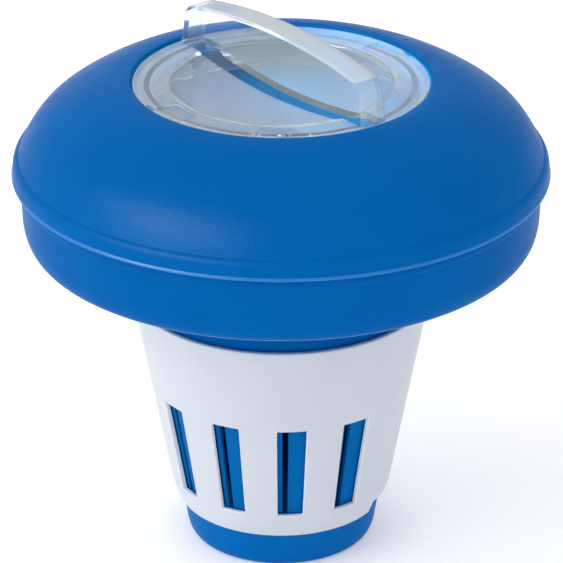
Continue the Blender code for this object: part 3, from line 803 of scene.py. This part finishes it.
def cap_profile():
    """From the dish's middle out over the rim, and back under it."""
    count = 18
    bowl = [(WELL_RADIUS * k / count, well_height(WELL_RADIUS * k / count))
            for k in range(count)]
    under = [(radius, height - CAP_THICKNESS) for radius, height in bowl]
    under.reverse()
    skirt_inner = SKIRT_RADIUS - SKIRT_WALL
    soft = 0.25 * MM
    fine = 0.2 * MM
    return rounded(bowl + [
        (WELL_RADIUS - 0.2 * MM, CAP_TOP_Z - WELL_STEP, fine),
        (WELL_RADIUS + 0.2 * MM, CAP_TOP_Z, 0.5 * MM),
        (CAP_RADIUS, CAP_TOP_Z, 0.45 * MM),
        (CAP_RADIUS, FLANGE_BOTTOM_Z, soft),
        (SKIRT_RADIUS, FLANGE_BOTTOM_Z, fine),
        (SKIRT_RADIUS, SKIRT_BOTTOM_Z, soft),
        (skirt_inner, SKIRT_BOTTOM_Z, soft),
        (skirt_inner, FLANGE_BOTTOM_Z, fine),
        (WELL_RADIUS + 0.3 * MM, FLANGE_BOTTOM_Z, 0.1 * MM),
    ] + under, closed=False)


def frost_height(radius):
    """Height above which the grip's faces belong to its frosted crown."""
    along = min(radius / GRIP_SHOULDER_REACH, 1.0)
    rise = (GRIP_HEIGHT - GRIP_SHOULDER_HEIGHT) * (1 - along ** 2)
    return CAP_TOP_Z + GRIP_SHOULDER_HEIGHT - 0.55 * MM + rise


def paint_cap(cap, looks):
    along, across = grip_axes()
    hollow_side = GRIP_WIDTH / 2 - GRIP_WALL + 0.2 * MM
    # painted highlight: a white line round the rim's top edge
    paint(cap, looks["frost"], lambda radius, z, face:
          CAP_TOP_Z - 0.5 * MM < z < CAP_TOP_Z + 0.1 * MM and radius > CAP_RADIUS - 0.42 * MM)
    paint(cap, looks["frost"], lambda radius, z, face: z > frost_height(radius))
    paint(cap, looks["ends"], lambda radius, z, face:
          z > CAP_TOP_Z + 0.5 * MM and abs(face.center.dot(along)) > GRIP_HALF_LENGTH - 3 * MM)
    # painted highlight: the hollow's side walls just above the dish, a white line along the grip's
    # foot
    paint(cap, looks["frost"], lambda radius, z, face:
          well_height(radius) - 1.4 * MM < z < well_height(radius) + 0.3 * MM
          and abs(face.normal.dot(across)) > 0.7
          and abs(face.center.dot(across)) < hollow_side)


def build_cap(looks):
    cap = lathe("clear_cap", cap_profile(), closed=False)
    cap_looks(cap, looks)

    sunk = CAP_THICKNESS / 2
    reach = [GRIP_HALF_LENGTH * k / 16 for k in range(-16, 17)]
    floor = [(distance, well_height(abs(distance)) - sunk) for distance in reach]
    outer = grip_block("grip_outer", grip_outline(0.0, floor), GRIP_WIDTH,
                       GRIP_OUTER_EDGE, 4, looks)
    boolean(cap, outer, 'UNION')

    lug_top = LEDGE_BOTTOM_Z - GAP
    lugs = [((SKIRT_RADIUS - SKIRT_WALL / 2, LUG_RADIUS),
             (a - LUG_HALF_ANGLE, a + LUG_HALF_ANGLE),
             (lug_top - LUG_HEIGHT, lug_top)) for a in lug_azimuths()]
    boolean(cap, blocks_object("lugs", lugs, edge=0.3 * MM), 'UNION')

    end = GRIP_HALF_LENGTH - GRIP_WALL
    below = SKIRT_BOTTOM_Z - MM
    hollow = grip_block("grip_hollow", grip_outline(GRIP_WALL, [(-end, below), (end, below)]),
                        GRIP_WIDTH - 2 * GRIP_WALL, GRIP_INNER_EDGE, 3, looks)
    boolean(cap, hollow, 'DIFFERENCE')

    pockets = []
    for a in lug_azimuths():
        pockets.append((POCKET_RADII, (a - POCKET_HALF_ANGLE, a + POCKET_HALF_ANGLE),
                        (CAP_TOP_Z - POCKET_DEPTH, CAP_TOP_Z + MM)))
        pockets.append(((NICK_INNER_RADIUS, CAP_RADIUS + MM),
                        (a + NICK_ANGLES[0], a + NICK_ANGLES[1]),
                        (FLANGE_BOTTOM_Z - MM, CAP_TOP_Z + MM)))
    boolean(cap, blocks_object("pockets", pockets), 'DIFFERENCE')
    paint_cap(cap, looks)
    finish_piece(cap, "cap", "cap")


def build_gasket(looks):
    cord_radius = (SEAL_TOP_Z - SEAL_BOTTOM_Z) / 2
    count = 20
    profile = []
    for k in range(count):
        a = math.pi / 2 - math.tau * k / count
        profile.append((SEAL_RADIUS - cord_radius * (1 - math.cos(a)),
                        SEAL_BOTTOM_Z + cord_radius * (1 + math.sin(a))))
    ring = lathe("seal_ring", profile)
    ring.data.materials.append(looks["seal"])
    finish_piece(ring, "cap_seal", "cap_gasket")


# ============================================================ stage, camera
def make_stage():
    """A pale floor that glows a little, so that it ends up as white as the sky."""
    mesh = bpy.data.meshes.new("floor")
    half = FLOOR_HALF
    mesh.from_pydata([(-half, -half, 0), (half, -half, 0), (half, half, 0), (-half, half, 0)],
                     [], [(0, 1, 2, 3)])
    floor = add_object("floor", mesh)
    floor.location.z = -FLOOR_DROP
    material, _, shader = new_material("floor_pale")
    shader.inputs["Base Color"].default_value = (0.95, 0.95, 0.95, 1.0)
    shader.inputs["Emission Color"].default_value = (1.0, 1.0, 1.0, 1.0)
    shader.inputs["Emission Strength"].default_value = FLOOR_GLOW
    shader.inputs["Roughness"].default_value = 0.9
    shader.inputs["Specular IOR Level"].default_value = 0.1
    mesh.materials.append(material)


def make_softbox():
    """One wide soft light, front left, that shows only as gloss."""
    towards = Vector(SOFTBOX_AT).normalized()
    data = bpy.data.lights.new("softbox", 'AREA')
    data.shape = 'RECTANGLE'
    data.size, data.size_y = SOFTBOX_SIZE
    data.energy = SOFTBOX_POWER
    box = add_object("softbox", data)
    box.location = towards * SOFTBOX_DISTANCE + Vector((0.0, 0.0, SOFTBOX_AIM_Z))
    box.rotation_euler = (-towards).to_track_quat('-Z', 'Y').to_euler()
    box.visible_diffuse = False
    box.visible_camera = False


def make_sky():
    """An even white studio with two soft brighter fields, one behind and one to the left."""
    world = bpy.data.worlds.new("soft_sky")
    world.use_nodes = True
    tree = world.node_tree
    look = tree.nodes.new("ShaderNodeTexCoord").outputs["Generated"]
    total = None
    for direction, inner, outer, strength in SKY_FIELDS:
        dot = tree.nodes.new("ShaderNodeVectorMath")
        dot.operation = 'DOT_PRODUCT'
        dot.inputs[1].default_value = Vector(direction).normalized()
        tree.links.new(look, dot.inputs[0])
        field = tree.nodes.new("ShaderNodeMapRange")
        field.interpolation_type = 'SMOOTHSTEP'
        field.inputs["From Min"].default_value = math.cos(outer)
        field.inputs["From Max"].default_value = math.cos(inner)
        field.inputs["To Max"].default_value = strength
        tree.links.new(dot.outputs["Value"], field.inputs["Value"])
        add = tree.nodes.new("ShaderNodeMath")
        add.inputs[0].default_value = SKY_BASE
        if total:
            tree.links.new(total, add.inputs[0])
        tree.links.new(field.outputs["Result"], add.inputs[1])
        total = add.outputs["Value"]
    sky = tree.nodes["Background"]
    sky.inputs["Color"].default_value = (1.0, 1.0, 1.0, 1.0)
    tree.links.new(total, sky.inputs["Strength"])
    bpy.context.scene.world = world


def make_camera():
    """A long lens at the photograph's viewing angle."""
    target = Vector(CAMERA_TARGET)
    data = bpy.data.cameras.new("camera")
    data.lens = CAMERA_LENS
    data.sensor_width = CAMERA_SENSOR
    data.clip_start = 0.05
    camera = add_object("camera", data)
    towards = Vector((0.0, -math.cos(CAMERA_ELEVATION), math.sin(CAMERA_ELEVATION)))
    camera.location = target + CAMERA_DISTANCE * towards
    camera.rotation_euler = (target - camera.location).to_track_quat('-Z', 'Y').to_euler()
    bpy.context.scene.camera = camera


looks = make_materials()
for build in (build_dome, build_pan, build_tube, build_basket, build_sleeve, build_cup,
              build_cap, build_gasket):
    build(looks)
make_stage()
make_sky()
make_softbox()
make_camera()
bpy.context.scene.view_settings.view_transform = 'Standard'
